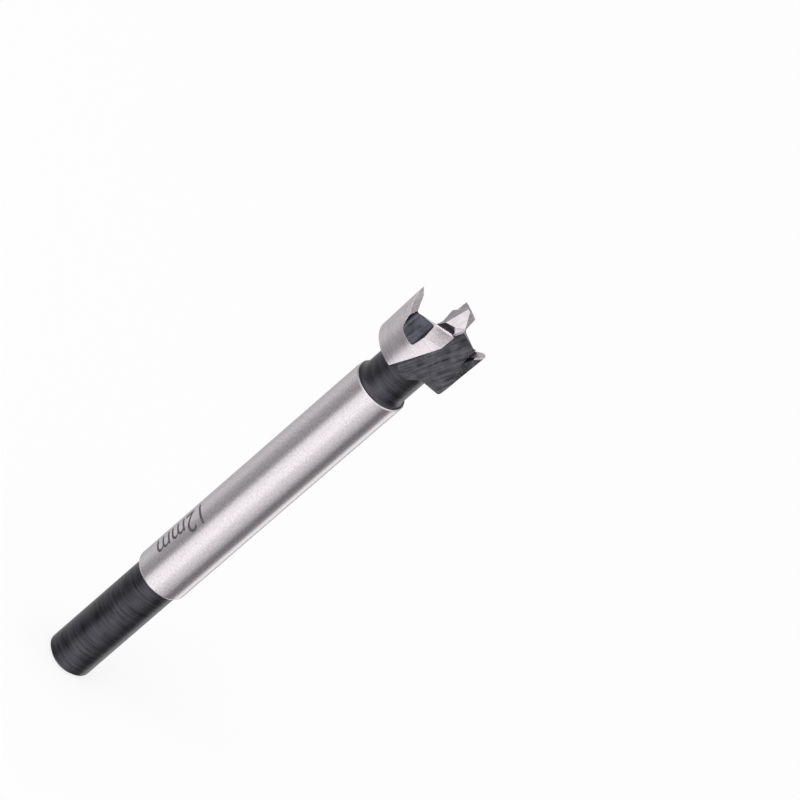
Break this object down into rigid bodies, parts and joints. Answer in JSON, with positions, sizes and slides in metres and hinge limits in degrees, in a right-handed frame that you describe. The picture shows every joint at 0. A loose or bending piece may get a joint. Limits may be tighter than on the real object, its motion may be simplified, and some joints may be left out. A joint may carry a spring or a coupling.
{
  "type": "forstner bit",
  "caption": "Two-winged wood boring bit of one piece, with a pyramid centre point, raised rim spurs, ground lifters, a necked head and a round shank.",
  "frame": {"origin": "centre of the flat end of the shank", "axes": "+Z along the axis of the bit, from the shank's end to the centre point; the first wing and its lip lie on the -Y side"},
  "size_m": [0.012, 0.012, 0.085],
  "materials": {
    "steel": "black oxide, with the shank, the rim and the cutting faces ground bright"
  },
  "bodies": {
    "root": {"forstner_bit": "steel"}
  },
  "joints": []
}
